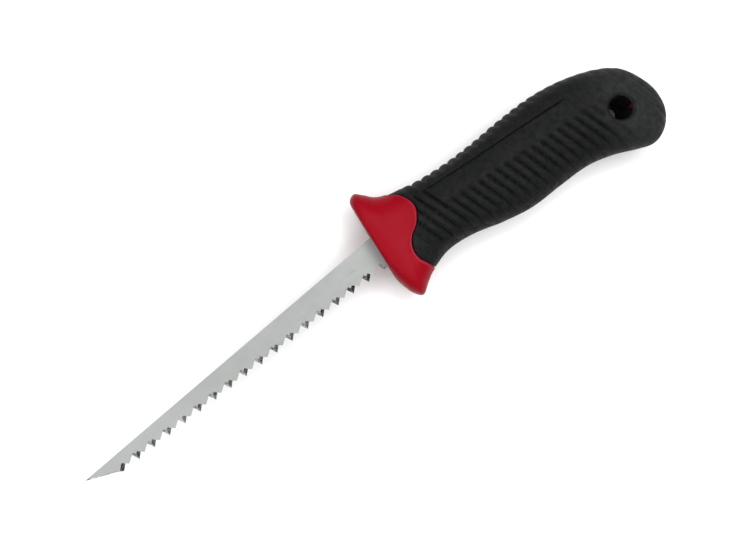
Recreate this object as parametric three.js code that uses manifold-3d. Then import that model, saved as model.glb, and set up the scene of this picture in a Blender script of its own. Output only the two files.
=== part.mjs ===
// Drywall saw (jab saw): one fixed toothed blade moulded into a two-material handle.
// Three separate pieces: the steel blade with its hidden tang, the hard red handle core that
// carries the guard, and the soft black grip moulded over the core.
// Millimetres. X runs from the tip of the blade to the butt, Y from the teeth to the spine and
// Z through the thickness. The saw lies on its side. Shapes are drawn from the middle of the
// guard's front face, and the whole is moved at the end so that the origin is below its middle.
import * as THREE from "three";
import { mergeVertices } from "three/addons/utils/BufferGeometryUtils.js";
import Module from "manifold-3d";

const wasm = await Module();
wasm.setup();

// Blade, along its own axis, which drops towards the teeth by BLADE_TILT.
const BLADE_LENGTH = 150;
const BLADE_THICKNESS = 1.3;
const BLADE_TILT = THREE.MathUtils.degToRad(6.7);
const SPINE_AT_GUARD = 4.9;
const SPINE_AT_TIP = 0.3;
const BELLY_END = new THREE.Vector2(-136.7, -5.4);
const BELLY_BEVEL = 0.6;
const EDGE_LAND = 0.12;

// Teeth, in pairs: a long one ground on the upper face, then a short one ground on the lower face.
const TOOTH_PAIRS = 17;
const FIRST_TOOTH_X = -135.1;
const PAIR_PITCH = 7.76;
const TOOTH_TIP_FIRST_Y = -6.3;
const TOOTH_TIP_LAST_Y = -8.6;
const GULLET_DEPTH = 2.9;
const NOTCH_DEPTH = 2.1;
const SHORT_TOOTH_DROP = 0.9;
const TOOTH_BEVEL = 1.4;
const HEEL = { leftTop: [-4.1, -5.6], leftBottom: [-3.1, -8.6], bottomRight: [3, -8.0] };

// Mouth of the core's slot, where the full height of the blade enters the guard.
const MOUTH_HALF_HEIGHT = 9.4;
const MOUTH_DEPTH = 4;

// Tang, which runs straight back into the handle, with two holes that the core's plastic fills.
const TANG_END = 62;
const TANG_HALF_HEIGHT = 5.5;
const TANG_HOLE_RADIUS = 2.5;
const TANG_HOLES_X = [22, 46];
const TANG_START = 1;
const TANG_CORNER = 3;

// Handle core behind the guard: a bar round the tang that ends in an eye round the hanging hole.
const FIT_GAP = 0.3;
const BAR_HALF_HEIGHT = 9;
const BAR_HALF_THICKNESS = 5.5;
const BAR_START = 6;
const BAR_CORNER = 3;
const BAR_Y = -1;
const BAR_INTO_EYE = 1.5;
const EYE = { x: 110, y: -4.2, outerRadius: 9.8, innerRadius: 6.9, halfThickness: 4 };

// Lug on the eye that held the core in the mould, so that its side shows in the hanging hole.
const LUG = { radius: 1.3, fromHole: 6.6, angle: THREE.MathUtils.degToRad(-32) };

// Hanging hole through the grip, whose rubber lines the eye of the core. Each mouth is rounded.
const HOLE_RADIUS = 5.3;
const HOLE_MOUTH_RADIUS = 6.6;
const HOLE_MOUTH_START = 8.6;
const HOLE_MOUTH_DEPTH = 2.6;

// Half size of the cutters that pass right through the handle, and facets round a full turn.
const REACH = 30;
const ROUND_SEGMENTS = 32;

// Handle surface: cross lines from the spine side to the finger side, each with the half
// thickness of the handle there. The lines lean back towards the fingers, as the ribs do.
const HANDLE_LINES = [
  { top: [0, 19.6], bottom: [0, -14.9], half: 12.7 },
  { top: [0.8, 21.7], bottom: [0.9, -18.4], half: 13.6 },
  { top: [3.4, 23.1], bottom: [2.8, -22.9], half: 14 },
  { top: [6.4, 20.8], bottom: [6, -25.7], half: 13.8 },
  { top: [9.6, 17.9], bottom: [10.4, -22.4], half: 13.2 },
  { top: [14.6, 15.8], bottom: [15.6, -19.0], half: 12.5 },
  { top: [20.5, 15.1], bottom: [24.5, -15.8], half: 12.1 },
  { top: [28, 14.4], bottom: [36, -15.7], half: 12.1 },
  { top: [40, 14.4], bottom: [49, -18], half: 12.6 },
  { top: [53, 15.5], bottom: [62, -19.1], half: 13.2 },
  { top: [67, 17.5], bottom: [76, -17.7], half: 13.3 },
  { top: [80, 18.8], bottom: [89, -16.8], half: 12.9 },
  { top: [92, 18.6], bottom: [100, -18.5], half: 12.5 },
  { top: [103, 16.9], bottom: [110, -21.8], half: 12.1 },
  { top: [112, 14.2], bottom: [116.2, -23.2], half: 11.3 },
  { top: [119, 10.4], bottom: [121.2, -21.5], half: 9.6 },
  { top: [124, 4.2], bottom: [125, -17.9], half: 7 },
  { top: [127, -2.6], bottom: [127.2, -13.4], half: 3.9 },
];
const FRONT_ROWS = 7;
const STEPS_PER_FRONT_ROW = 4;
const BUTT_ROWS = 5;
const STEP_PER_BUTT_RING = 0.3;
const BUTT_END = new THREE.Vector3(127.9, -8.2, 0);

// Sections of the handle are rounded boxes: the higher the power, the squarer they are.
const GUARD_POWER = 3;
const GRIP_POWER = 2.35;
const POWER_CHANGE = { start: 2, end: 30 };

// Ribs and label panel pressed into the grip, both measured along the middle of the cross lines.
const RIB_PITCH = 4.14;
const RIB_START = 18.9;
const RIB_END = 103;
const RIB_DEPTH = 0.6;
const GROOVE_SHARE = 0.62;
const RIB_FADE = 3;
const RIB_FADE_OUT = 12;
const LOWEST_RIB = -0.8;
const STEPS_PER_RIB = 4;
const GRIP_FRONT_X = [9, 11.5, 14, 16.5];
const PANEL_START = 30.8;
const PANEL_END = 92;
const PANEL_DEPTH = 0.45;
const PANEL_BOTTOM = 0.16;
const PANEL_TOP = 0.64;
const PANEL_FOOT = 0.12;

// Heights, from -1 at the finger side to 1 at the spine, at which one side of a section has points.
const SIDE_HEIGHTS = [
  -0.985, -0.93, -0.82, -0.66, -0.48, -0.28, -0.08, 0.1, PANEL_BOTTOM, 0.36, 0.52,
  PANEL_TOP - 0.03, PANEL_TOP, 0.78, 0.88, 0.95, 0.99,
];

// Rear edge of the red guard, seen from the side, from above the spine down to below the fingers.
const GUARD_EDGE_STEPS = 44;
const GUARD_EDGE = [
  [8, REACH], [14.2, 15.8], [18.4, 12.7], [20.9, 7.7], [20.5, 4], [17.8, -0.3],
  [13.9, -3.4], [11.6, -7.6], [11.7, -12.3], [14.1, -16.5], [16.2, -20.8], [17, -REACH],
];

// ---------------------------------------------------------------- helpers

// A closed geometry as a manifold-3d solid.
function solidFrom(geometry) {
  const bare = geometry.index ? geometry.toNonIndexed() : geometry.clone();
  bare.deleteAttribute("normal");
  bare.deleteAttribute("uv");
  const merged = mergeVertices(bare, 1e-4);
  return new wasm.Manifold(
    new wasm.Mesh({
      numProp: 3,
      vertProperties: merged.attributes.position.array,
      triVerts: new Uint32Array(merged.index.array),
    }),
  );
}

// The largest body of a solid, without the thinnest splinters that a cut can leave beside it.
function mainBody(solid) {
  return solid.decompose().reduce((largest, body) => (body.volume() > largest.volume() ? body : largest));
}

// A manifold-3d solid back as a geometry.
function geometryFrom(solid) {
  const mesh = mainBody(solid).getMesh();
  const geometry = new THREE.BufferGeometry();
  geometry.setAttribute("position", new THREE.BufferAttribute(mesh.vertProperties, 3));
  geometry.setIndex(new THREE.BufferAttribute(mesh.triVerts, 1));
  geometry.computeVertexNormals();
  return geometry;
}

// A flat outline in XY given as a plate from lowZ to highZ.
function plate(outline, lowZ, highZ, holes = []) {
  const shape = new THREE.Shape(outline);
  shape.holes.push(...holes);
  const geometry = new THREE.ExtrudeGeometry(shape, {
    depth: highZ - lowZ,
    bevelEnabled: false,
    curveSegments: ROUND_SEGMENTS / 2,
  });
  geometry.translate(0, 0, lowZ);
  return solidFrom(geometry);
}

// A round bar about the Z line through (x, y), as long above the blade's plane as below it.
function roundCutter(x, y, radius, halfHeight) {
  const geometry = new THREE.CylinderGeometry(radius, radius, 2 * halfHeight, ROUND_SEGMENTS);
  geometry.rotateX(Math.PI / 2);
  geometry.translate(x, y, 0);
  return solidFrom(geometry);
}

// A block with rounded edges along X, for the bar of the core and its pocket in the grip.
function roundedBar(startX, endX, halfHeight, halfThickness) {
  const radius = BAR_CORNER;
  const shape = new THREE.Shape();
  shape.moveTo(-halfHeight + radius, -halfThickness);
  shape.lineTo(halfHeight - radius, -halfThickness);
  shape.quadraticCurveTo(halfHeight, -halfThickness, halfHeight, -halfThickness + radius);
  shape.lineTo(halfHeight, halfThickness - radius);
  shape.quadraticCurveTo(halfHeight, halfThickness, halfHeight - radius, halfThickness);
  shape.lineTo(-halfHeight + radius, halfThickness);
  shape.quadraticCurveTo(-halfHeight, halfThickness, -halfHeight, halfThickness - radius);
  shape.lineTo(-halfHeight, -halfThickness + radius);
  shape.quadraticCurveTo(-halfHeight, -halfThickness, -halfHeight + radius, -halfThickness);
  const geometry = new THREE.ExtrudeGeometry(shape, {
    depth: endX - startX,
    bevelEnabled: false,
    curveSegments: 4,
  });
  const axes = new THREE.Matrix4().makeBasis(
    new THREE.Vector3(0, 1, 0),
    new THREE.Vector3(0, 0, 1),
    new THREE.Vector3(1, 0, 0),
  );
  geometry.applyMatrix4(axes);
  geometry.translate(startX, BAR_Y, 0);
  return solidFrom(geometry);
}

function smoothstep(low, high, value) {
  return THREE.MathUtils.smoothstep(value, low, high);
}

// ---------------------------------------------------------------- blade

// Y of the long teeth's tips at x, on the straight line from the first tooth to the last.
function toothLineY(x) {
  const lastX = FIRST_TOOTH_X + (TOOTH_PAIRS - 1) * PAIR_PITCH;
  const share = (x - FIRST_TOOTH_X) / (lastX - FIRST_TOOTH_X);
  return THREE.MathUtils.lerp(TOOTH_TIP_FIRST_Y, TOOTH_TIP_LAST_Y, share);
}

// The four corners of a pair of teeth whose long tooth has its tip at x.
function toothPair(x) {
  const y = toothLineY(x);
  return {
    gullet: new THREE.Vector2(x - 1.35, y + GULLET_DEPTH),
    longTip: new THREE.Vector2(x, y),
    notch: new THREE.Vector2(x + 2.35, y + NOTCH_DEPTH),
    shortTip: new THREE.Vector2(x + 3.75, y + SHORT_TOOTH_DROP),
  };
}

const toothPairs = Array.from({ length: TOOTH_PAIRS }, (_, i) =>
  toothPair(FIRST_TOOTH_X + i * PAIR_PITCH),
);

// Outline of the exposed blade, anticlockwise from the tip, in the blade's own axes.
function bladeOutline() {
  const points = [new THREE.Vector2(-BLADE_LENGTH, SPINE_AT_TIP), BELLY_END];
  toothPairs.forEach((pair, i) => {
    if (i > 0) points.push(pair.gullet);
    points.push(pair.longTip, pair.notch, pair.shortTip);
  });
  const lastGullet = toothPair(FIRST_TOOTH_X + TOOTH_PAIRS * PAIR_PITCH).gullet;
  points.push(new THREE.Vector2(lastGullet.x - 0.4, lastGullet.y));
  points.push(...[HEEL.leftTop, HEEL.leftBottom, HEEL.bottomRight].map((p) => new THREE.Vector2(...p)));
  points.push(new THREE.Vector2(HEEL.bottomRight[0], SPINE_AT_GUARD));
  points.push(new THREE.Vector2(0, SPINE_AT_GUARD));
  return points;
}

// A wedge that grinds one edge of the plate, from the whole thickness at the edge to nothing at
// `width` from it. The plate's material is on the left of the way from `from` to `to`, and `side`
// is 1 for the upper face and -1 for the lower one.
function grindingWedge(from, to, width, side, land = EDGE_LAND) {
  const along = new THREE.Vector2().subVectors(to, from);
  const length = along.length();
  along.normalize();
  const half = BLADE_THICKNESS / 2;
  const slope = (2 * half - land) / width;
  const beyond = 0.5;
  const outside = 0.05;
  const profile = new THREE.Shape([
    new THREE.Vector2(-outside, -half + land),
    new THREE.Vector2(0, -half + land),
    new THREE.Vector2(width + beyond, half + beyond * slope),
    new THREE.Vector2(-outside, half + beyond * slope),
  ]);
  const geometry = new THREE.ExtrudeGeometry(profile, { depth: length, bevelEnabled: false });
  const axes = new THREE.Matrix4().makeBasis(
    new THREE.Vector3(-along.y, along.x, 0),
    new THREE.Vector3(0, 0, 1),
    new THREE.Vector3(along.x, along.y, 0),
  );
  geometry.applyMatrix4(axes);
  geometry.translate(from.x, from.y, 0);
  if (side < 0) return solidFrom(geometry).mirror([0, 0, 1]);
  return solidFrom(geometry);
}

// Every bevel of the blade: both flanks of each tooth, the front of the heel and the belly.
function grinds() {
  const wedges = [];
  toothPairs.forEach((pair, i) => {
    const next = toothPair(pair.longTip.x + PAIR_PITCH);
    if (i > 0) wedges.push(grindingWedge(pair.gullet, pair.longTip, TOOTH_BEVEL, 1));
    wedges.push(grindingWedge(pair.longTip, pair.notch, TOOTH_BEVEL, 1));
    wedges.push(grindingWedge(pair.notch, pair.shortTip, TOOTH_BEVEL, -1));
    wedges.push(grindingWedge(pair.shortTip, next.gullet, TOOTH_BEVEL, -1));
  });
  const heelTop = new THREE.Vector2(...HEEL.leftTop);
  const heelBottom = new THREE.Vector2(...HEEL.leftBottom);
  wedges.push(grindingWedge(heelTop, heelBottom, TOOTH_BEVEL * 0.7, 1));
  const tip = new THREE.Vector2(-BLADE_LENGTH, SPINE_AT_TIP);
  wedges.push(grindingWedge(tip, BELLY_END, BELLY_BEVEL, 1, BLADE_THICKNESS / 2));
  wedges.push(grindingWedge(tip, BELLY_END, BELLY_BEVEL, -1, BLADE_THICKNESS / 2));
  return wedges;
}

// The tang in the handle's axes, with its rear corners cut off and its two holes.
function tangOutline(margin) {
  const end = TANG_END + margin;
  const half = TANG_HALF_HEIGHT + margin;
  return [
    new THREE.Vector2(TANG_START, -half),
    new THREE.Vector2(end - TANG_CORNER, -half),
    new THREE.Vector2(end, -half + TANG_CORNER),
    new THREE.Vector2(end, half - TANG_CORNER),
    new THREE.Vector2(end - TANG_CORNER, half),
    new THREE.Vector2(TANG_START, half),
  ];
}

function tangHolePath(x) {
  const path = new THREE.Path();
  path.absarc(x, 0, TANG_HOLE_RADIUS, 0, Math.PI * 2, true);
  return path;
}

function bladeSolid() {
  const half = BLADE_THICKNESS / 2;
  const ground = grinds().reduce(
    (solid, wedge) => solid.subtract(wedge),
    plate(bladeOutline(), -half, half),
  );
  const tilted = ground.rotate([0, 0, THREE.MathUtils.radToDeg(BLADE_TILT)]);
  const tang = plate(tangOutline(0), -half, half, TANG_HOLES_X.map(tangHolePath));
  return tilted.add(tang);
}

// ---------------------------------------------------------------- handle surface

// Cross line t of the handle, with t counted in rows of HANDLE_LINES and the butt after the last.
function crossLine(t) {
  const last = HANDLE_LINES.length;
  const rowAt = (i) => {
    const index = THREE.MathUtils.clamp(i, 0, last);
    if (index < last) return HANDLE_LINES[index];
    return { top: [BUTT_END.x, BUTT_END.y], bottom: [BUTT_END.x, BUTT_END.y], half: 0 };
  };
  const first = Math.min(Math.floor(t), last - 1);
  const rows = [-1, 0, 1, 2].map((offset) => rowAt(first + offset));
  const blend = (pick) => catmull(rows.map(pick), t - first);
  return {
    top: new THREE.Vector2(blend((row) => row.top[0]), blend((row) => row.top[1])),
    bottom: new THREE.Vector2(blend((row) => row.bottom[0]), blend((row) => row.bottom[1])),
    half: blend((row) => row.half),
  };
}

function catmull([before, from, to, after], share) {
  const slopeFrom = (to - before) / 2;
  const slopeTo = (after - from) / 2;
  const bend2 = 3 * (to - from) - 2 * slopeFrom - slopeTo;
  const bend3 = 2 * (from - to) + slopeFrom + slopeTo;
  return from + share * (slopeFrom + share * (bend2 + share * bend3));
}

function middleX(line) {
  return (line.top.x + line.bottom.x) / 2;
}

// The cross line whose middle is at x, found by halving.
function crossLineAt(x) {
  let low = 0;
  let high = HANDLE_LINES.length;
  for (let i = 0; i < 40; i++) {
    const t = (low + high) / 2;
    if (middleX(crossLine(t)) < x) low = t;
    else high = t;
  }
  return crossLine(low);
}

// 1 between two places and 0 outside them, rising and falling over a fade inside each.
function between(low, lowFade, high, highFade, value) {
  return smoothstep(low, low + lowFade, value) * (1 - smoothstep(high - highFade, high, value));
}

// How deep the grip's relief is below the plain surface, at a cross line's middle x and a height.
// The ribs run all round, except over the smooth label panel, which is sunk under its upper edge.
function reliefDepth(x, height) {
  const phase = (x - RIB_START) / RIB_PITCH;
  const fromGroove = Math.abs(phase - Math.round(phase)) * 2;
  const groove = 1 - smoothstep(0, GROOVE_SHARE, fromGroove);
  const ribbed = between(RIB_START - RIB_FADE, RIB_FADE, RIB_END, RIB_FADE_OUT, x);
  const aboveFingers = smoothstep(-1, LOWEST_RIB, height);
  const besidePanel = between(PANEL_START - RIB_FADE, RIB_FADE, PANEL_END + RIB_FADE, RIB_FADE, x);
  const belowCrease = height < PANEL_TOP ? 1 : 0;
  const onPanel = besidePanel * belowCrease * smoothstep(PANEL_BOTTOM - PANEL_FOOT, PANEL_BOTTOM, height);
  const sunk = besidePanel * belowCrease * smoothstep(PANEL_BOTTOM, PANEL_TOP, height);
  return RIB_DEPTH * groove * ribbed * aboveFingers * (1 - onPanel) + PANEL_DEPTH * sunk;
}

// One ring of points round the handle: down the upper side, then back up the lower side.
function ringPoints(line, relief) {
  const middle = line.top.clone().add(line.bottom).multiplyScalar(0.5);
  const reach = line.top.clone().sub(line.bottom).multiplyScalar(0.5);
  const towardsGrip = smoothstep(POWER_CHANGE.start, POWER_CHANGE.end, middle.x);
  const power = THREE.MathUtils.lerp(GUARD_POWER, GRIP_POWER, towardsGrip);
  const pointAt = (height, side) => {
    const width = (1 - Math.abs(height) ** power) ** (1 / power);
    const depth = relief ? reliefDepth(middle.x, height) : 0;
    const inward = 1 - (depth / reach.length()) * Math.abs(height) ** 3;
    return new THREE.Vector3(
      middle.x + reach.x * height * inward,
      middle.y + reach.y * height * inward,
      side * Math.max(line.half * width - depth * width, 0.01),
    );
  };
  const rising = SIDE_HEIGHTS.map((height) => pointAt(height, 1));
  const falling = [...SIDE_HEIGHTS].reverse().map((height) => pointAt(height, -1));
  return [pointAt(-1, 0), ...rising, pointAt(1, 0), ...falling];
}

// A closed loft through rings, with a flat or pointed cap at each end.
function loft(rings, frontCentre, rearCentre) {
  const count = rings[0].length;
  const points = [frontCentre, ...rings.flat(), rearCentre];
  const at = (ring, i) => 1 + ring * count + (i % count);
  const triangles = [];
  for (let i = 0; i < count; i++) {
    triangles.push(0, at(0, i), at(0, i + 1));
    for (let ring = 0; ring + 1 < rings.length; ring++) {
      triangles.push(at(ring, i), at(ring + 1, i), at(ring + 1, i + 1));
      triangles.push(at(ring, i), at(ring + 1, i + 1), at(ring, i + 1));
    }
    triangles.push(points.length - 1, at(rings.length - 1, i + 1), at(rings.length - 1, i));
  }
  const geometry = new THREE.BufferGeometry().setFromPoints(points);
  geometry.setIndex(triangles);
  return solidFrom(geometry);
}

function ringCentre(ring) {
  const sum = ring.reduce((total, point) => total.add(point), new THREE.Vector3());
  return sum.divideScalar(ring.length);
}

// The plain front of the handle, which the guard is cut from.
function frontBody() {
  const steps = FRONT_ROWS * STEPS_PER_FRONT_ROW;
  const places = Array.from({ length: steps + 1 }, (_, i) => i / STEPS_PER_FRONT_ROW);
  const rings = places.map((t) => ringPoints(crossLine(t), false));
  return loft(rings, ringCentre(rings[0]), ringCentre(rings[rings.length - 1]));
}

// The ribbed body of the grip, from inside the guard to the butt.
function gripBody() {
  const ribStep = RIB_PITCH / STEPS_PER_RIB;
  const places = GRIP_FRONT_X.slice();
  for (let x = RIB_START - ribStep; x < RIB_END; x += ribStep) places.push(x);
  const rings = places.map((x) => ringPoints(crossLineAt(x), true));
  const lastPlace = places[places.length - 1] + ribStep;
  for (let back = BUTT_ROWS; back > 0.01; back -= STEP_PER_BUTT_RING) {
    const line = crossLine(HANDLE_LINES.length - back);
    if (middleX(line) > lastPlace) rings.push(ringPoints(line, true));
  }
  return loft(rings, ringCentre(rings[0]), BUTT_END);
}

// ---------------------------------------------------------------- handle pieces

// Everything in front of the guard's rear edge, moved back by `margin`.
function guardRegion(margin) {
  const edge = new THREE.SplineCurve(GUARD_EDGE.map(([x, y]) => new THREE.Vector2(x + margin, y)));
  const outline = [
    ...edge.getPoints(GUARD_EDGE_STEPS),
    new THREE.Vector2(-REACH, -REACH),
    new THREE.Vector2(-REACH, REACH),
  ];
  return plate(outline.reverse(), -REACH, REACH);
}

// The bar of the core with its eye. With a margin it is the pocket that the grip leaves for them.
function coreInside(margin) {
  const bar = roundedBar(BAR_START, EYE.x, BAR_HALF_HEIGHT + margin, BAR_HALF_THICKNESS + margin);
  const clearOfEye = roundCutter(EYE.x, EYE.y, EYE.outerRadius - BAR_INTO_EYE - margin, REACH);
  const disc = roundCutter(EYE.x, EYE.y, EYE.outerRadius + margin, EYE.halfThickness + margin);
  const eye = disc.subtract(roundCutter(EYE.x, EYE.y, EYE.innerRadius - margin, REACH));
  const lugX = EYE.x + LUG.fromHole * Math.cos(LUG.angle);
  const lugY = EYE.y + LUG.fromHole * Math.sin(LUG.angle);
  const lug = roundCutter(lugX, lugY, LUG.radius + margin, EYE.halfThickness + margin);
  return bar.subtract(clearOfEye).add(eye).add(lug);
}

// The slot for the tang, less the two plugs of plastic that pass through the tang's holes.
function tangSlot() {
  const half = BLADE_THICKNESS / 2 + FIT_GAP;
  const slot = plate(tangOutline(FIT_GAP), -half, half);
  const plugs = TANG_HOLES_X.map((x) =>
    roundCutter(x, 0, TANG_HOLE_RADIUS - FIT_GAP, 2 * half),
  );
  const hollow = plugs.reduce((solid, plug) => solid.subtract(plug), slot);
  const mouth = plate(
    [
      new THREE.Vector2(-REACH, -MOUTH_HALF_HEIGHT),
      new THREE.Vector2(MOUTH_DEPTH, -MOUTH_HALF_HEIGHT),
      new THREE.Vector2(MOUTH_DEPTH, MOUTH_HALF_HEIGHT),
      new THREE.Vector2(-REACH, MOUTH_HALF_HEIGHT),
    ],
    -half,
    half,
  );
  return hollow.add(mouth);
}

function coreSolid() {
  const guard = frontBody().intersect(guardRegion(0));
  return guard.add(coreInside(0)).subtract(tangSlot());
}

// The hanging hole's cutter: a round bar that flares at each mouth of the hole.
function hangingHole() {
  const flare = HOLE_MOUTH_RADIUS - HOLE_RADIUS;
  const mouthEnd = HOLE_MOUTH_START + HOLE_MOUTH_DEPTH;
  const upperHalf = [
    [HOLE_RADIUS, HOLE_MOUTH_START],
    [HOLE_RADIUS + flare / 4, (HOLE_MOUTH_START + mouthEnd) / 2],
    [HOLE_MOUTH_RADIUS, mouthEnd],
    [HOLE_MOUTH_RADIUS + 2 * flare, REACH],
    [0, REACH],
  ];
  const lowerHalf = upperHalf.map(([radius, height]) => [radius, -height]).reverse();
  const profile = [...lowerHalf, ...upperHalf].map(([radius, height]) => new THREE.Vector2(radius, height));
  const geometry = new THREE.LatheGeometry(profile, ROUND_SEGMENTS);
  geometry.rotateX(Math.PI / 2);
  geometry.translate(EYE.x, EYE.y, 0);
  return solidFrom(geometry);
}

function gripSolid() {
  return gripBody()
    .subtract(guardRegion(FIT_GAP))
    .subtract(coreInside(FIT_GAP))
    .subtract(hangingHole());
}

// ---------------------------------------------------------------- assembly

function piece(name, solid, colour, roughness, metalness) {
  const material = new THREE.MeshStandardMaterial({ color: colour, roughness, metalness });
  const mesh = new THREE.Mesh(geometryFrom(solid), material);
  mesh.name = name;
  return mesh;
}

const saw = new THREE.Group();
saw.add(piece("blade", bladeSolid(), 0xb3b8b5, 0.35, 1));
saw.add(piece("handle_core", coreSolid(), 0xa31d28, 0.4, 0));
saw.add(piece("grip", gripSolid(), 0x242524, 0.8, 0));

// The origin is below the middle of the saw as it lies.
const box = new THREE.Box3().setFromObject(saw);
const middle = box.getCenter(new THREE.Vector3());
saw.position.set(-middle.x, -middle.y, -box.min.z);

export default saw;
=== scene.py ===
"""Drywall saw: a steel blade, a hard red core with the guard, and a ribbed black rubber grip.

Lengths in the first part are millimetres in the handle's own axes: x from the guard's front face
towards the butt, y from the teeth towards the spine, z up from the middle of the blade.
"""

import math

import bmesh
import bpy
import numpy as np
from mathutils import Matrix, Vector


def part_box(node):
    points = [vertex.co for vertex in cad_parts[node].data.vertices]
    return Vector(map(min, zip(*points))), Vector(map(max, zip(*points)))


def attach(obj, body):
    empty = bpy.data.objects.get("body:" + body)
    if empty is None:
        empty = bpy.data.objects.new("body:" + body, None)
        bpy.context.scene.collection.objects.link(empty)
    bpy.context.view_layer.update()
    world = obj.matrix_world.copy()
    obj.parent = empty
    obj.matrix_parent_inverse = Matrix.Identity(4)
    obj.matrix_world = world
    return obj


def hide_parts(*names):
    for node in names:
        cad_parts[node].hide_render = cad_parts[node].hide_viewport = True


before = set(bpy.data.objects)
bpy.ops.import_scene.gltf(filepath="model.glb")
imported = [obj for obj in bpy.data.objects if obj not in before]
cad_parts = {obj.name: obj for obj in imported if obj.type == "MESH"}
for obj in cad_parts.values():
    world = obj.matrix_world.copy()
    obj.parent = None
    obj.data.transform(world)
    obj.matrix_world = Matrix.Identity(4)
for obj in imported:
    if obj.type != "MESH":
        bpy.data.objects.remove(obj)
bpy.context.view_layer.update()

MM = 0.001

# Where the handle's own axes lie in the frame.
CORE_LOW, CORE_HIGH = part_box("handle_core")
BLADE_LOW, BLADE_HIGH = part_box("blade")
GUARD_TOP = 23.1
ORIGIN = Vector((CORE_LOW.x, CORE_HIGH.y - GUARD_TOP * MM, (BLADE_LOW.z + BLADE_HIGH.z) / 2))

# How far the blade leans from the handle's axis, and where its heel starts.
BLADE_TILT = math.radians(6.7)
HEEL_X = -5

# The handle's outline from the side and its half thickness, as points on smooth curves.
SPINE_LINE = [
    (0, 19.8), (0.7, 21.7), (3.4, 23.1), (6.4, 20.8), (9.6, 17.9), (14.6, 15.8), (20.5, 15.1),
    (28, 14.4), (40, 14.4), (53, 15.5), (67, 17.5), (80, 18.8), (92, 18.6), (103, 16.9),
    (112, 14.2), (119, 10.4), (124, 4.2), (127, -2.6), (127.9, -8.2),
]
FINGER_LINE = [
    (0, -15.1), (0.9, -18.4), (2.8, -22.9), (6, -25.7), (10.4, -22.4), (15.6, -19), (24.5, -15.8),
    (36, -15.7), (49, -18), (62, -19.1), (76, -17.7), (89, -16.8), (100, -18.5), (110, -21.8),
    (116.2, -23.2), (121.2, -21.5), (125, -17.9), (127.2, -13.4), (127.9, -8.2),
]
THICKNESS_LINE = [
    (0, 12.8), (0.9, 13.7), (3.1, 14), (6.2, 13.8), (10, 13.2), (15, 12.5), (22.5, 12.1),
    (32, 12.1), (44.5, 12.6), (57.5, 13.2), (71.5, 13.3), (84.5, 12.9), (96, 12.5), (106.5, 12.1),
    (114, 11.3), (120, 9.6), (124.5, 7), (127.1, 3.9), (127.9, 0),
]
BUTT_X = 127.9

# Sections are rounded boxes: the higher the power, the squarer they are. It changes between two x.
GUARD_POWER = 3.0
GRIP_POWER = 2.35
POWER_CHANGE = (2, 30)

# Rear edge of the guard seen from the side, from the spine down to the fingers.
GUARD_EDGE = [
    (11.4, 20), (14.2, 15.8), (18.4, 12.7), (20.9, 7.7), (20.5, 4), (17.8, -0.3), (13.9, -3.4),
    (11.6, -7.6), (11.7, -12.3), (14.1, -16.5), (16.2, -20.8), (17, -26),
]
SEAM_GAP = 0.25

# Lips on both sides of the seam: how far their rounding reaches and how deep it is.
GRIP_LIP = {"reach": 0.9, "depth": 0.5}
GUARD_LIP = {"reach": 0.6, "depth": 0.5}

# Rim of the guard: how far it rises, how far from the lip the rise starts and is full, and the
# middle and the width of the painted highlight along it.
RIM_RISE = 0.2
RIM_SWELL = (3, 0.3)
RIM_HIGHLIGHT_MIDDLE = 0.45
RIM_HIGHLIGHT_WIDTH = 0.3

# Grooves between the grip's ribs: their spacing along the handle, where one of them crosses the
# middle line, how much they lean for each millimetre towards the fingers, their depth, the power
# that rounds the ribs between them, and where they start and end.
RIB_PITCH = 4.14
RIB_X = 30.9
RIB_LEAN = 0.41
RIB_DEPTH = 1.0
RIB_ROUNDNESS = 0.62
RIB_START = 15.5
RIB_END = 103.5

# How much of the grooves' depth is lost towards the fingers, on the strip above the crease, over
# the swollen butt, and on the upper part of the butt.
RIB_LOSS = {"fingers": 0.3, "strip": 0.82, "butt": 0.5, "upper_butt": 0.65}

# Smooth panel: the y at which its ends are measured along level_x, its front and rear ends, how
# far it is sunk, its lower edge, and the crease along its upper edge, which narrows between two x.
PANEL_Y = 6
PANEL_START = 30.6
PANEL_END = 92.5
PANEL_STEP = 0.55
CREASE = ((31.3, 9.8), (93.8, 10.8))
CREASE_DEPTH = 0.6
CREASE_WIDTH = 0.34
CREASE_NARROWING = 0.4
CREASE_NARROWS = (50, 70)
CREASE_OFFSET = 0.2
PANEL_FOOT = ((34.4, 2.0), (90.3, 3.2))

# Mould's parting line: its height, and its width as a share of the half thickness.
PARTING_HEIGHT = 0.09
PARTING_WIDTH = 0.012

# Hanging hole through the grip, which narrows and leans towards its foot on the underside.
HOLE_X = 110
HOLE_Y = -4.2
HOLE_RADIUS = 5.2
HOLE_FOOT_RADIUS = 2.8
HOLE_FOOT_X = HOLE_X - 1.2
HOLE_REACH = 15
HOLE_ROUNDING = 1.6

# The core's eye round the hole, and the lug on it whose red side shows in the hole.
EYE_OUTER_RADIUS = 9.8
EYE_INNER_RADIUS = 6.9
EYE_HALF_THICKNESS = 4
LUG_RADIUS = 1.2
LUG_FROM_HOLE = 5.5
LUG_ANGLE = math.radians(-20)
LUG_HALF_THICKNESS = 8.5

# The core's bar inside the grip, the gap between them, and the slot for the blade's tang.
BAR = {"start": 6, "y": -1, "half_height": 9, "half_thickness": 5.5, "corner": 3}
CORE_GAP = 0.25
CORE_ROUNDING = 0.5
SLOT_LOW = (-10, -9.4, -0.95)
SLOT_HIGH = (60, 6.8, 0.95)
SLOT_CORNER = 0.3

# Blade: faces that turn less than FLAT_TURN are joined into one, and edges that turn more than
# EDGE_TURN get a bevel. A ground facet has a normal whose z lies between two values, and at least
# this area in square millimetres.
FLAT_TURN = math.radians(0.6)
EDGE_TURN = math.radians(20)
BLADE_BEVEL = 0.04
FACET_NORMAL_Z = (0.2, 0.97)
FACET_AREA = 0.15

# x between which the rubber turns paler towards the butt, a painted sheen.
BUTT_SHEEN = (96, 116)

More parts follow.
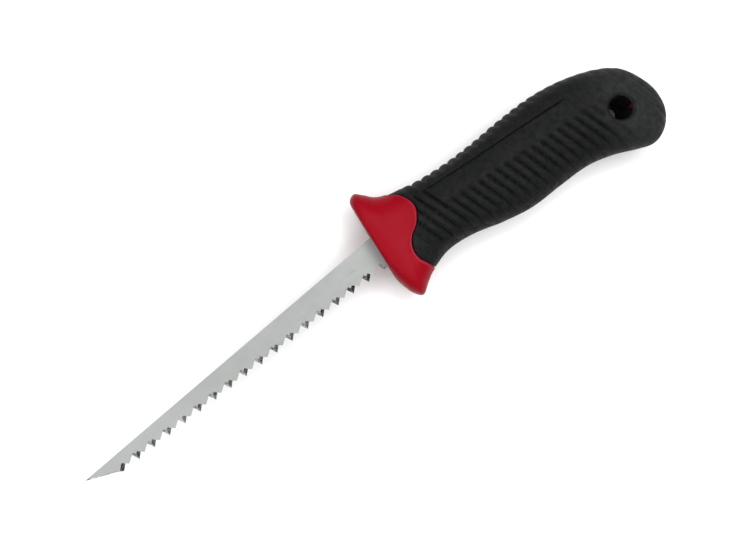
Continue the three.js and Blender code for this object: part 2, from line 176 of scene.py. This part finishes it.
# Camera: metres, millimetres in the handle's axes for the middle of the picture, and angles.
CAMERA_DISTANCE = 0.4
CAMERA_SENSOR = 36
SEEN_WIDTH = 0.30075
SEEN_MIDDLE = (-6.42, -8.76, 0)
HANDLE_RISE = math.radians(32)

# A ring of soft round lights, stronger on the side beyond the butt: metres, degrees and watts.
LIGHT_COUNT = 8
LIGHT_DISTANCE = 1.3
LIGHT_SIZE = 0.75
LIGHT_ELEVATION = math.radians(60)
LIGHT_POWER = 3.65
KEY_ANGLE = math.radians(10)
KEY_SHARE = 0.6
AMBIENT = 0.22
FLOOR_HALF_SIZE = 6.0
FLOOR_GREY = 0.93

# How finely the surfaces are divided.
RING_POINTS = 288
GRIP_ROWS = 330
GUARD_ROWS = 84
HOLE_SEGMENTS = 128
RIM_STEPS = 5
CORNER_STEPS = 7

# Points nearer than this are one point, and shorter edges are taken out.
MERGE_DISTANCE = 0.002
SLIVER_LENGTH = 0.001

# The grip's first rows follow the guard's edge and straighten up to BLEND_X. Its last rows, from
# TURN_X, close up towards the butt.
BLEND_X = 34.0
BLEND_ROWS = 60
TURN_X = 108.0
TURN_ROWS = 70
LAST_ROW_GAP = 0.004

# The guard's rows lie closer together towards its front face, by this power. Further rings close
# the face, at these shares of the way to its middle, and the rear, this far inside its edge.
GUARD_CROWDING = 1.4
FACE_SHARES = (0.9, 0.5, 0.12, 0.03)
REAR_INSET = 1.3

# Half height and half width of a common section, for spacing its points, and how high on it the
# crease runs.
MEAN_HALF_HEIGHT = 17
MEAN_HALF_WIDTH = 13
CREASE_HEIGHT = 0.62
CREASE_BAND = 0.11
FINE_ANGLES = 20001

# The guard's rear edge is found on the surface from a first guess, in this many passes.
EDGE_GUESS = 15.0
EDGE_PASSES = 40


# ------------------------------------------------------------------ curves and surfaces

def smooth_line(points, steps=24):
    """A Catmull-Rom curve through points, as an array with that many steps for each stretch."""
    p = np.array([points[0], *points, points[-1]], float)
    t = np.linspace(0, 1, steps, endpoint=False)[:, None]
    stretches = []
    for before, start, end, after in zip(p, p[1:], p[2:], p[3:]):
        slope_in = (end - before) / 2
        slope_out = (after - start) / 2
        bend_2 = 3 * (end - start) - 2 * slope_in - slope_out
        bend_3 = 2 * (start - end) + slope_in + slope_out
        stretches.append(start + t * (slope_in + t * (bend_2 + t * bend_3)))
    return np.vstack([*stretches, p[-1:]])


SPINE = smooth_line(SPINE_LINE)
FINGERS = smooth_line(FINGER_LINE)
THICKNESS = smooth_line(THICKNESS_LINE)
EDGE = smooth_line(GUARD_EDGE)


def along(line, x):
    """y of a curve at x."""
    return np.interp(x, line[:, 0], line[:, 1])


def smoothstep(low, high, value):
    """0 up to low and 1 from high on, with a soft change between. low may be the greater one."""
    t = np.clip((value - low) / (high - low), 0, 1)
    return t * t * (3 - 2 * t)


def straight(ends, x):
    """y at x of the straight line through two ends."""
    (x0, y0), (x1, y1) = ends
    return y0 + (y1 - y0) * (x - x0) / (x1 - x0)


def edge_x(y):
    """x of the guard's rear edge at y."""
    return np.interp(-y, -EDGE[:, 1], EDGE[:, 0])


def ring_angles():
    """Angles of a section's points, evenly spaced but three times as close beside the crease."""
    fine = np.linspace(-math.pi, math.pi, FINE_ANGLES)
    height, width = unit_section(fine, GRIP_POWER)
    step = np.hypot(np.diff(height) * MEAN_HALF_HEIGHT, np.diff(width) * MEAN_HALF_WIDTH)
    middle = (height[1:] + height[:-1]) / 2
    step *= 1 + 2 * (np.abs(middle - CREASE_HEIGHT) < CREASE_BAND)
    travelled = np.concatenate([[0], np.cumsum(step)])
    wanted = np.linspace(0, travelled[-1], RING_POINTS, endpoint=False)
    return np.interp(wanted, travelled, fine)


def unit_section(angle, power):
    """Height towards the spine and signed width of a section's point, both from -1 to 1."""
    height = np.sign(np.sin(angle)) * np.abs(np.sin(angle)) ** (2 / power)
    width = np.sign(np.cos(angle)) * np.abs(np.cos(angle)) ** (2 / power)
    return height, width


RING = ring_angles()


def surface(x, angle):
    """Points of the plain handle at x and angle."""
    power = GUARD_POWER + (GRIP_POWER - GUARD_POWER) * smoothstep(*POWER_CHANGE, x)
    height, width = unit_section(angle, power)
    top = along(SPINE, x)
    bottom = along(FINGERS, x)
    y = (top + bottom) / 2 + (top - bottom) / 2 * height
    z = along(THICKNESS, x) * width
    return np.stack([x, y, z], axis=-1)


def edge_ring(gap):
    """x of every ring point where the handle's surface meets the guard's rear edge."""
    x = np.full(RING_POINTS, EDGE_GUESS)
    for _ in range(EDGE_PASSES):
        y = surface(x, RING)[:, 1]
        x = 0.5 * x + 0.5 * (edge_x(y) + gap)
    return x


def grid_normals(grid):
    """Outward normals of a grid of points whose rows run towards +x and rings round it."""
    along_x = np.gradient(grid, axis=0)
    wrapped = np.concatenate([grid[:, -1:], grid, grid[:, :1]], axis=1)
    around = np.gradient(wrapped, axis=1)[:, 1:-1]
    normal = np.cross(around, along_x)
    length = np.linalg.norm(normal, axis=-1, keepdims=True)
    normal /= np.maximum(length, 1e-9)
    middle = grid.mean(axis=1, keepdims=True)
    if np.sum((grid - middle) * normal) < 0:
        normal = -normal
    return normal


# ------------------------------------------------------------------ relief of the grip

def level_x(x, y):
    """x slid along the ribs' lean to the handle's middle line."""
    return x + RIB_LEAN * y


def groove_shape(x, y):
    """1 at the sharp bottom of each groove, falling to 0 on top of the round ribs beside it."""
    phase = (level_x(x, y) - RIB_X) / RIB_PITCH
    return 1 - np.abs(np.sin(math.pi * phase)) ** RIB_ROUNDNESS


def panel_cover(x, y):
    """1 over the smooth panel and 0 outside it, with a soft foot and a sharp upper edge."""
    place = level_x(x, y - PANEL_Y)
    foot = straight(PANEL_FOOT, x)
    crease = straight(CREASE, x)
    along_panel = smoothstep(PANEL_START - 0.5, PANEL_START + 0.5, place)
    along_panel *= 1 - smoothstep(PANEL_END - 2, PANEL_END + 2, place)
    below_crease = 1 - smoothstep(crease - 0.05, crease + 0.05, y)
    return along_panel * smoothstep(foot - 2.0, foot + 0.6, y) * below_crease


def rib_depth(x, y, height):
    """Depth of the grooves between the ribs, at a height of the section from -1 to 1."""
    place = level_x(x, y)
    crease = straight(CREASE, x)
    strength = 1 - panel_cover(x, y)
    strength *= smoothstep(RIB_START - 3, RIB_START, place)

    # Weaker towards the fingers, and none on their ridge.
    strength *= 1 - RIB_LOSS["fingers"] * smoothstep(-8, -14, y)
    strength *= smoothstep(-1.0, -0.9, height)

    # Faint on the strip above the crease, full again where they notch the spine.
    on_strip = smoothstep(crease - 0.1, crease + 0.1, y)
    on_spine = smoothstep(0.82, 0.96, height)
    strength *= 1 - on_strip * (RIB_LOSS["strip"] - RIB_LOSS["strip"] * on_spine)

    # None on the spine just behind the guard.
    strength *= 1 - smoothstep(0.45, 0.75, height) * (1 - smoothstep(19, 25, x))

    # Fainter over the swollen butt, and none at its end or round the hole.
    strength *= 1 - RIB_LOSS["butt"] * smoothstep(RIB_END - 5, RIB_END + 1, place)
    strength *= 1 - RIB_LOSS["upper_butt"] * smoothstep(90, 94, place) * smoothstep(0, 5, y)
    strength *= 1 - smoothstep(BUTT_X - 4, BUTT_X - 0.8, x)
    from_hole = np.hypot(x - HOLE_X, y - HOLE_Y)
    strength *= smoothstep(HOLE_RADIUS + 0.5, HOLE_RADIUS + 3, from_hole)
    return RIB_DEPTH * groove_shape(x, y) * strength


def panel_line(x, y):
    """The groove along the panel's upper edge, widest near the guard."""
    from_crease = y - straight(CREASE, x) + CREASE_OFFSET
    place = level_x(x, y - PANEL_Y)
    ends = smoothstep(PANEL_START - 0.8, PANEL_START + 0.8, place)
    ends *= 1 - smoothstep(PANEL_END, PANEL_END + 3, place)
    width = CREASE_WIDTH * (1 - CREASE_NARROWING * smoothstep(*CREASE_NARROWS, x))
    return CREASE_DEPTH * ends * np.exp(-((from_crease / width) ** 2))


def panel_depth(x, y):
    """The panel, sunk most under its upper edge."""
    crease = straight(CREASE, x)
    foot = straight(PANEL_FOOT, x)
    place = level_x(x, y - PANEL_Y)
    ends = smoothstep(PANEL_START - 0.4, PANEL_START + 0.3, place)
    ends *= 1 - smoothstep(PANEL_END - 2, PANEL_END + 2, place)
    below_crease = 1 - smoothstep(crease - 0.3, crease + 0.05, y)
    return PANEL_STEP * ends * below_crease * smoothstep(foot - 2.5, crease - 2, y)


def hole_depth(x, y):
    """Rounding of the hole's two mouths, both at its upper radius."""
    distance = np.hypot(x - HOLE_X, y - HOLE_Y) - HOLE_RADIUS
    near = np.clip(1 - np.clip(distance, 0, None) / HOLE_ROUNDING, 0, 1)
    return HOLE_ROUNDING * (1 - np.sqrt(np.clip(1 - near**2, 0, 1)))


def lip_depth(from_edge, lip):
    """Rounding of a lip at a distance from the line where guard and grip meet."""
    near = np.clip(1 - from_edge / lip["reach"], 0, 1)
    return lip["depth"] * (1 - np.sqrt(np.clip(1 - near**2, 0, 1)))


def parting_ridge(width, x):
    """The fine line that the two halves of the mould leave along the spine and the fingers."""
    return PARTING_HEIGHT * np.exp(-((width / PARTING_WIDTH) ** 2)) * smoothstep(15, 20, x)


# ------------------------------------------------------------------ mesh helpers

def to_frame(points):
    """Points in the handle's own millimetres as vectors in the frame's metres."""
    return np.asarray(points, float) * MM + np.array(ORIGIN)


def mesh_object(name, points, faces):
    """A new object from points in the handle's own millimetres."""
    mesh = bpy.data.meshes.new(name)
    mesh.from_pydata(to_frame(points).tolist(), [], faces)
    mesh.validate()
    mesh.update()
    obj = bpy.data.objects.new(name, mesh)
    bpy.context.scene.collection.objects.link(obj)
    return obj


def face_outwards(obj):
    """Turns every face of a closed body outwards."""
    bm = bmesh.new()
    bm.from_mesh(obj.data)
    bmesh.ops.recalc_face_normals(bm, faces=bm.faces)
    bm.to_mesh(obj.data)
    bm.free()


def closed_grid(name, grid, front_rings=()):
    """A closed body from a grid of rings. front_rings are extra rings that close its front."""
    rings = [*front_rings, *grid]
    count = len(rings[0])
    points = np.concatenate([*rings, [rings[0].mean(axis=0)], [rings[-1].mean(axis=0)]])
    faces = []
    for row in range(len(rings) - 1):
        for i in range(count):
            j = (i + 1) % count
            here, ahead = row * count, (row + 1) * count
            faces.append((here + i, here + j, ahead + j, ahead + i))
    front, rear = len(points) - 2, len(points) - 1
    last = (len(rings) - 1) * count
    for i in range(count):
        j = (i + 1) % count
        faces.append((front, j, i))
        faces.append((rear, last + i, last + j))
    obj = mesh_object(name, points, faces)
    face_outwards(obj)
    return obj


def circle(x, y, z, radius, segments):
    """Points of a level circle about (x, y)."""
    angles = np.linspace(0, 2 * math.pi, segments, endpoint=False)
    across = x + radius * np.cos(angles)
    up = y + radius * np.sin(angles)
    return np.stack([across, up, np.full(segments, z)], axis=-1)


def round_bar(name, x, y, radius, half_height, segments=96, rounding=0):
    """A round bar along z about (x, y), with rounded rims."""
    quarter = np.linspace(0, math.pi / 2, RIM_STEPS)
    steps = quarter if rounding else quarter[-1:]
    rims = [
        (radius - rounding * (1 - math.sin(a)), half_height - rounding * (1 - math.cos(a)))
        for a in steps
    ]
    profile = [*rims, *[(r, -z) for r, z in reversed(rims)]]
    return closed_grid(name, [circle(x, y, z, r, segments) for r, z in profile])


def rounded_block(name, low, high, corner):
    """A block whose four edges along x are rounded."""
    half_y, half_z = (high[1] - low[1]) / 2, (high[2] - low[2]) / 2
    middle_y, middle_z = (high[1] + low[1]) / 2, (high[2] + low[2]) / 2
    outline = []
    for quarter in range(4):
        for a in np.linspace(0, math.pi / 2, CORNER_STEPS):
            angle = quarter * math.pi / 2 + a
            centre_y = (half_y - corner) * (1 if quarter in (0, 3) else -1)
            centre_z = (half_z - corner) * (1 if quarter in (0, 1) else -1)
            y = middle_y + centre_y + corner * math.cos(angle)
            z = middle_z + centre_z + corner * math.sin(angle)
            outline.append((y, z))
    rings = [np.array([(x, y, z) for y, z in outline]) for x in (low[0], high[0])]
    return closed_grid(name, rings)


def combine(obj, other, operation):
    """Joins or cuts obj with other, which is used up."""
    modifier = obj.modifiers.new("combine", "BOOLEAN")
    modifier.operation = operation
    modifier.solver = "EXACT"
    modifier.object = other
    graph = bpy.context.evaluated_depsgraph_get()
    made = bpy.data.meshes.new_from_object(obj.evaluated_get(graph))
    obj.modifiers.remove(modifier)
    obj.data = made
    bpy.data.objects.remove(other)


def finish_surface(obj, sharp_degrees):
    """Merges the doubled points of a cut and shades the surface smooth between sharp edges."""
    bm = bmesh.new()
    bm.from_mesh(obj.data)
    bmesh.ops.remove_doubles(bm, verts=bm.verts, dist=MERGE_DISTANCE * MM)
    bmesh.ops.dissolve_degenerate(bm, edges=bm.edges, dist=SLIVER_LENGTH * MM)
    loose = [v for v in bm.verts if not v.link_faces]
    bmesh.ops.delete(bm, geom=loose, context="VERTS")
    bm.to_mesh(obj.data)
    bm.free()
    obj.data.polygons.foreach_set("use_smooth", [True] * len(obj.data.polygons))
    obj.data.set_sharp_from_angle(angle=math.radians(sharp_degrees))


# ------------------------------------------------------------------ pieces

def grip_grid():
    """Rings of the grip from the guard's edge to the butt, and the depth of its grooves."""
    start = edge_ring(SEAM_GAP)
    front = np.linspace(0, 1, BLEND_ROWS, endpoint=False)[:, None]
    middle = np.linspace(BLEND_X, TURN_X, GRIP_ROWS - BLEND_ROWS - TURN_ROWS, endpoint=False)
    turn = np.linspace(0, math.pi / 2, TURN_ROWS)[:-1]
    rear = TURN_X + (BUTT_X - TURN_X) * np.sin(turn)
    rear[-1] = BUTT_X - LAST_ROW_GAP
    front_x = start * (1 - front) + BLEND_X * front
    rest_x = np.repeat(np.concatenate([middle, rear])[:, None], RING_POINTS, axis=1)
    x = np.concatenate([front_x, rest_x])
    angle = np.broadcast_to(RING, x.shape)
    height, width = unit_section(angle, GRIP_POWER)
    plain = surface(x, angle)
    y = plain[..., 1]
    relief = rib_depth(x, y, height) + panel_line(x, y)
    depth = relief + panel_depth(x, y) + hole_depth(x, y)
    depth += lip_depth(x - start, GRIP_LIP)
    depth -= parting_ridge(width, x)
    depth *= 1 - smoothstep(BUTT_X - 0.6, BUTT_X, x)
    return plain - grid_normals(plain) * depth[..., None], relief


def front_closing_rings(ring, inward, share):
    """A ring that far inside an end ring, and one a share of the way from it to the middle."""
    middle = ring.mean(axis=0)
    lip = ring + (middle - ring) * (inward / np.linalg.norm(ring - middle, axis=1))[:, None]
    lip[:, 0] = ring[:, 0]
    inner = lip + (middle - lip) * share
    inner[:, 0] = lip[:, 0]
    return [inner, lip]


def bar_and_eye(name, margin, rounding):
    """The core's bar and eye, or with a margin the pocket that holds them."""
    half_y = BAR["half_height"] + margin
    half_z = BAR["half_thickness"] + margin
    low = (BAR["start"], BAR["y"] - half_y, -half_z)
    high = (HOLE_X - EYE_INNER_RADIUS - 1, BAR["y"] + half_y, half_z)
    bar = rounded_block(name, low, high, BAR["corner"])
    outer = EYE_OUTER_RADIUS + margin
    disc = round_bar("disc", HOLE_X, HOLE_Y, outer, EYE_HALF_THICKNESS + margin, rounding=rounding)
    combine(bar, disc, "UNION")
    opening = round_bar("opening", HOLE_X, HOLE_Y, EYE_INNER_RADIUS - margin, HOLE_REACH)
    combine(bar, opening, "DIFFERENCE")
    lug_x = HOLE_X + LUG_FROM_HOLE * math.cos(LUG_ANGLE)
    lug_y = HOLE_Y + LUG_FROM_HOLE * math.sin(LUG_ANGLE)
    lug = round_bar("lug", lug_x, lug_y, LUG_RADIUS + margin, LUG_HALF_THICKNESS + margin, 32, rounding)
    combine(bar, lug, "UNION")
    return bar


def paint(obj, name, values):
    """Stores a value for each point of a mesh, for its material to read."""
    layer = obj.data.attributes.new(name, "FLOAT", "POINT")
    layer.data.foreach_set("value", np.asarray(values, np.float32))


def hanging_hole():
    """A bar that cuts the hanging hole out of the grip."""
    top = circle(HOLE_X, HOLE_Y, HOLE_REACH, HOLE_RADIUS, HOLE_SEGMENTS)
    foot = circle(HOLE_FOOT_X, HOLE_Y, -HOLE_REACH, HOLE_FOOT_RADIUS, HOLE_SEGMENTS)
    return closed_grid("hole", [top, foot])


def grip():
    """The rubber with its relief, hollow for the core's bar and eye."""
    grid, relief = grip_grid()
    front = front_closing_rings(grid[0], inward=1.6, share=0.6)
    body = closed_grid("grip_rubber", grid, front)

    # The last two points of a closed grid are the middles of its front and its rear.
    inside = np.zeros(len(front) * RING_POINTS)
    # Painted sheen, paler towards the butt.
    butt = smoothstep(*BUTT_SHEEN, grid[..., 0].ravel())
    # The grooves' depth, for the painted shade in them.
    paint(body, "groove", np.concatenate([inside, relief.ravel() / RIB_DEPTH, [0, 0]]))
    paint(body, "butt", np.concatenate([inside, butt, [0, 1]]))
    combine(body, bar_and_eye("pocket", CORE_GAP, 0), "DIFFERENCE")
    combine(body, hanging_hole(), "DIFFERENCE")
    finish_surface(body, sharp_degrees=40)
    return body


def guard_grid():
    """Rings of the guard from its front face to its rear edge, and where its painted highlight lies."""
    end = edge_ring(0.0)
    share = np.linspace(0, 1, GUARD_ROWS)[:, None] ** GUARD_CROWDING
    x = end * share
    plain = surface(x, np.broadcast_to(RING, x.shape))
    depth = lip_depth(end - x, GUARD_LIP) - RIM_RISE * smoothstep(*RIM_SWELL, end - x)
    # A line of painted highlight just inside the rear edge.
    rim_highlight = np.exp(-(((end - x - RIM_HIGHLIGHT_MIDDLE) / RIM_HIGHLIGHT_WIDTH) ** 2))
    return plain - grid_normals(plain) * depth[..., None], rim_highlight


def handle_core():
    """The guard with the bar and the eye behind it, and the slot for the blade's tang."""
    grid, rim_highlight = guard_grid()
    rear = grid[-1]
    middle = rear.mean(axis=0)
    inward = (middle - rear) / np.linalg.norm(middle - rear, axis=1)[:, None]
    inner = rear + inward * REAR_INSET
    inner[:, 0] = rear[:, 0]
    face = [grid[0] + (grid[0].mean(axis=0) - grid[0]) * share for share in FACE_SHARES]
    body = closed_grid("core_plastic", [*face, *grid, inner])
    before = np.zeros(len(face) * RING_POINTS)
    behind = np.zeros(RING_POINTS + 2)
    # Where the plastic gets its painted highlight.
    paint(body, "rim_highlight", np.concatenate([before, rim_highlight.ravel(), behind]))
    combine(body, bar_and_eye("bar", 0, CORE_ROUNDING), "UNION")
    combine(body, rounded_block("slot", SLOT_LOW, SLOT_HIGH, SLOT_CORNER), "DIFFERENCE")
    finish_surface(body, sharp_degrees=35)
    return body


def blade():
    """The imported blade's own shape with its flats joined up again and its edges softened."""
    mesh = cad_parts["blade"].data.copy()
    mesh.materials.clear()
    obj = bpy.data.objects.new("blade_steel", mesh)
    bpy.context.scene.collection.objects.link(obj)
    bm = bmesh.new()
    bm.from_mesh(mesh)
    bmesh.ops.remove_doubles(bm, verts=bm.verts, dist=MERGE_DISTANCE * MM)
    bmesh.ops.dissolve_limit(bm, angle_limit=FLAT_TURN, verts=bm.verts, edges=bm.edges)
    sharp = [e for e in bm.edges if len(e.link_faces) == 2 and e.calc_face_angle(0) > EDGE_TURN]
    bmesh.ops.bevel(
        bm, geom=sharp, offset=BLADE_BEVEL * MM, offset_type="OFFSET", segments=1, profile=0.5,
        affect="EDGES", clamp_overlap=True,
    )
    lowest, highest = FACET_NORMAL_Z
    for face in bm.faces:
        leaning = lowest < abs(face.normal.z) < highest
        ground = leaning and face.calc_area() > FACET_AREA * MM * MM
        towards_guard = face.normal.x > 0
        on_heel = face.calc_center_median().x > ORIGIN.x + HEEL_X * MM
        # Facets facing the guard, or on the heel, get the copy painted in shade; the rest the one
        # painted lit.
        face.material_index = (2 if towards_guard or on_heel else 1) if ground else 0
        face.smooth = False
    bm.to_mesh(mesh)
    bm.free()
    return obj


# ------------------------------------------------------------------ materials

def new_material(name):
    """An empty material, its node tree and its shader."""
    material = bpy.data.materials.new(name)
    material.use_nodes = True
    tree = material.node_tree
    shader = tree.nodes["Principled BSDF"]
    return material, tree, shader


def add(tree, kind, **settings):
    """A new node with its settings."""
    node = tree.nodes.new(kind)
    for key, value in settings.items():
        setattr(node, key, value)
    return node


def noise_at(tree, vector, scale, detail, roughness):
    """Noise over a vector, from about 0 to 1."""
    node = add(tree, "ShaderNodeTexNoise")
    tree.links.new(vector, node.inputs["Vector"])
    node.inputs["Scale"].default_value = scale
    node.inputs["Detail"].default_value = detail
    node.inputs["Roughness"].default_value = roughness
    return node.outputs["Fac"]


def ramp(tree, factor, stops):
    """A colour ramp over a factor. stops are (position, grey or colour)."""
    node = add(tree, "ShaderNodeValToRGB")
    tree.links.new(factor, node.inputs["Fac"])
    elements = node.color_ramp.elements
    while len(elements) < len(stops):
        elements.new(0.5)
    for element, (position, colour) in zip(elements, stops):
        element.position = position
        grey = isinstance(colour, (int, float))
        element.color = (colour, colour, colour, 1) if grey else (*colour, 1)
    return node.outputs["Color"]


def bump(tree, shader, height, distance, strength, normal=None):
    """Bumps on the shader's surface, on top of earlier ones where normal is given."""
    node = add(tree, "ShaderNodeBump")
    tree.links.new(height, node.inputs["Height"])
    node.inputs["Distance"].default_value = distance
    node.inputs["Strength"].default_value = strength
    if normal is not None:
        tree.links.new(normal, node.inputs["Normal"])
    tree.links.new(node.outputs["Normal"], shader.inputs["Normal"])
    return node.outputs["Normal"]


def object_vector(tree, scale=(1, 1, 1), turn=0.0):
    """The object's own coordinates, scaled and then turned about z.

    The turn comes last, so what is stretched along x stays along x.
    """
    coordinates = add(tree, "ShaderNodeTexCoord")
    mapping = add(tree, "ShaderNodeMapping")
    mapping.inputs["Scale"].default_value = scale
    mapping.inputs["Rotation"].default_value = (0, 0, turn)
    tree.links.new(coordinates.outputs["Object"], mapping.inputs["Vector"])
    return mapping.outputs["Vector"]


def attribute(tree, name):
    """A value that paint() stored on the mesh."""
    node = add(tree, "ShaderNodeAttribute")
    node.attribute_name = name
    return node.outputs["Fac"]


def darkened(tree, colour, shade, amount):
    """A colour multiplied towards black where shade is high."""
    node = add(tree, "ShaderNodeMix", data_type="RGBA", blend_type="MULTIPLY")
    tree.links.new(shade, node.inputs["Factor"])
    tree.links.new(colour, node.inputs["A"])
    node.inputs["B"].default_value = (amount, amount, amount, 1)
    return node.outputs["Result"]


def blended(tree, first, second, share):
    """The first colour, turning into the second as share goes from 0 to 1."""
    node = add(tree, "ShaderNodeMix", data_type="RGBA")
    tree.links.new(share, node.inputs["Factor"])
    tree.links.new(first, node.inputs["A"])
    tree.links.new(second, node.inputs["B"])
    return node.outputs["Result"]


def rubber():
    """Black rubber with fine grain, painted shade in the grooves, a paler painted sheen at the butt."""
    material, tree, shader = new_material("grip_rubber")
    vector = object_vector(tree)
    mottling = noise_at(tree, vector, 420, 6, 0.75)
    plain = ramp(tree, mottling, [(0.3, (0.0014, 0.0017, 0.0016)), (0.7, (0.0080, 0.0086, 0.0084))])
    # Painted sheen: a paler copy of the colour, blended in towards the butt.
    painted_sheen = ramp(tree, mottling, [(0.3, (0.0070, 0.0075, 0.0074)), (0.7, (0.0205, 0.0214, 0.0213))])
    colour = blended(tree, plain, painted_sheen, attribute(tree, "butt"))
    # Painted shade: the colour darkens in the grooves, most at their bottoms.
    groove = ramp(tree, attribute(tree, "groove"), [(0.3, 0.0), (0.85, 1.0)])
    tree.links.new(darkened(tree, colour, groove, 0.25), shader.inputs["Base Color"])
    wear = noise_at(tree, vector, 260, 5, 0.65)
    rough = ramp(tree, wear, [(0.3, 0.48), (0.7, 0.72)])
    tree.links.new(rough, shader.inputs["Roughness"])
    grain = noise_at(tree, vector, 1900, 3, 0.6)
    fine = bump(tree, shader, grain, 0.0002, 0.6)
    coarse = noise_at(tree, vector, 420, 3, 0.55)
    bump(tree, shader, coarse, 0.0004, 0.5, fine)
    shader.inputs["Specular IOR Level"].default_value = 0.1
    return material


def red_plastic():
    """Red moulded plastic, with a painted highlight that turns it paler along the edge beside the grip.
    """
    material, tree, shader = new_material("core_plastic")
    vector = object_vector(tree)
    flow = noise_at(tree, vector, 40, 3, 0.5)
    plain = ramp(tree, flow, [(0.3, (0.222, 0.0016, 0.0072)), (0.7, (0.246, 0.0024, 0.0098))])
    # Painted highlight: a paler pink along the guard's rear edge.
    painted_highlight = ramp(tree, flow, [(0.3, (0.26, 0.013, 0.032)), (0.7, (0.31, 0.024, 0.052))])
    colour = blended(tree, plain, painted_highlight, attribute(tree, "rim_highlight"))
    tree.links.new(colour, shader.inputs["Base Color"])
    smears = noise_at(tree, vector, 180, 4, 0.6)
    rough = ramp(tree, smears, [(0.3, 0.34), (0.75, 0.48)])
    tree.links.new(rough, shader.inputs["Roughness"])
    grain = noise_at(tree, vector, 1500, 2, 0.5)
    bump(tree, shader, grain, 0.00003, 0.3)
    shader.inputs["Specular IOR Level"].default_value = 0.045
    return material


def steel(name, greys, roughness, turn, line_scale, spread):
    """Rolled or ground steel with fine lines along x.

    turn picks another part of the noise that makes the lines. A small spread makes them stark.
    """
    material, tree, shader = new_material(name)
    lines_vector = object_vector(tree, (0.035, 1, 1), turn)
    lines = noise_at(tree, lines_vector, line_scale, 3, 0.6)
    plain_vector = object_vector(tree)
    clouds = noise_at(tree, plain_vector, 55, 4, 0.55)
    shade = add(tree, "ShaderNodeMix", data_type="FLOAT")
    shade.inputs["Factor"].default_value = 0.45
    tree.links.new(clouds, shade.inputs["A"])
    tree.links.new(lines, shade.inputs["B"])
    stops = [(0.5 - spread, greys["dark"]), (0.5 + spread, greys["light"])]
    colour = ramp(tree, shade.outputs["Result"], stops)
    tree.links.new(colour, shader.inputs["Base Color"])
    rough = ramp(tree, lines, [(0.25, roughness - 0.07), (0.75, roughness + 0.09)])
    tree.links.new(rough, shader.inputs["Roughness"])
    shader.inputs["Metallic"].default_value = 0.9
    bump(tree, shader, lines, 0.00002, 0.35)
    return material


def flat_steel():
    """The blade's flats, with faint lines."""
    greys = {"light": (0.344, 0.356, 0.348), "dark": (0.288, 0.298, 0.29)}
    return steel("blade_steel", greys, 0.36, -BLADE_TILT, 5200, 0.2)


def painted_lit_facet():
    """Ground flanks of the teeth that face the tip, a copy painted as lit, with stark lines."""
    greys = {"light": (0.75, 0.75, 0.75), "dark": (0.1, 0.1, 0.1)}
    return steel("ground_steel_painted_lit", greys, 0.4, math.radians(75), 2200, 0.06)


def painted_shade_facet():
    """Ground flanks of the teeth that face the guard, and the heel's facet, painted in shade."""
    greys = {"light": (0.38, 0.38, 0.38), "dark": (0.015, 0.015, 0.015)}
    return steel("ground_steel_painted_shade", greys, 0.3, math.radians(60), 2200, 0.06)


# ------------------------------------------------------------------ stage

def floor():
    """A pale floor to stand the saw on."""
    material, _, shader = new_material("floor")
    shader.inputs["Base Color"].default_value = (FLOOR_GREY, FLOOR_GREY, FLOOR_GREY, 1)
    shader.inputs["Roughness"].default_value = 0.9
    mesh = bpy.data.meshes.new("floor")
    half = FLOOR_HALF_SIZE
    corners = [(-half, -half, 0), (half, -half, 0), (half, half, 0), (-half, half, 0)]
    mesh.from_pydata(corners, [], [(0, 1, 2, 3)])
    mesh.materials.append(material)
    obj = bpy.data.objects.new("floor", mesh)
    bpy.context.scene.collection.objects.link(obj)


def area_light(name, position, aim, size, power):
    """A round soft light that points at aim."""
    light = bpy.data.lights.new(name, "AREA")
    light.shape = "DISK"
    light.size = size
    light.energy = power
    obj = bpy.data.objects.new(name, light)
    bpy.context.scene.collection.objects.link(obj)
    obj.location = position
    obj.rotation_mode = "QUATERNION"
    obj.rotation_quaternion = (Vector(aim) - Vector(position)).to_track_quat("-Z", "Y")


def studio():
    """A ring of soft lights overhead and a little light from all round."""
    world = bpy.data.worlds.new("studio")
    bpy.context.scene.world = world
    world.use_nodes = True
    background = world.node_tree.nodes["Background"]
    background.inputs["Color"].default_value = (1, 1, 1, 1)
    background.inputs["Strength"].default_value = AMBIENT
    for i in range(LIGHT_COUNT):
        angle = KEY_ANGLE + 2 * math.pi * i / LIGHT_COUNT
        rise = math.sin(LIGHT_ELEVATION)
        level = math.cos(LIGHT_ELEVATION)
        direction = Vector((math.cos(angle) * level, math.sin(angle) * level, rise))
        power = LIGHT_POWER * (1 + KEY_SHARE * math.cos(angle - KEY_ANGLE))
        area_light(f"light_{i}", direction * LIGHT_DISTANCE, (0, 0, 0), LIGHT_SIZE, power)
    bpy.context.scene.view_settings.view_transform = "Standard"


def camera():
    """Above the blade's flat, with the handle's axis rising to the right."""
    data = bpy.data.cameras.new("camera")
    obj = bpy.data.objects.new("camera", data)
    bpy.context.scene.collection.objects.link(obj)
    data.sensor_width = CAMERA_SENSOR
    data.lens = CAMERA_SENSOR * CAMERA_DISTANCE / SEEN_WIDTH
    data.clip_start = 0.01
    data.clip_end = 20
    middle = Vector(to_frame(SEEN_MIDDLE))
    position = Matrix.Translation(middle + Vector((0, 0, CAMERA_DISTANCE)))
    obj.matrix_world = position @ Matrix.Rotation(-HANDLE_RISE, 4, "Z")
    bpy.context.scene.camera = obj


# ------------------------------------------------------------------ assembly

def place(obj, node, slot, *materials):
    """Puts a finished piece in the place of its node."""
    for material in materials:
        obj.data.materials.append(material)
    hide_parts(node)
    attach(obj, "root")


camera()
studio()
floor()
place(blade(), "blade", "blade_steel", flat_steel(), painted_lit_facet(), painted_shade_facet())
place(handle_core(), "handle_core", "core_plastic", red_plastic())
place(grip(), "grip", "grip_rubber", rubber())
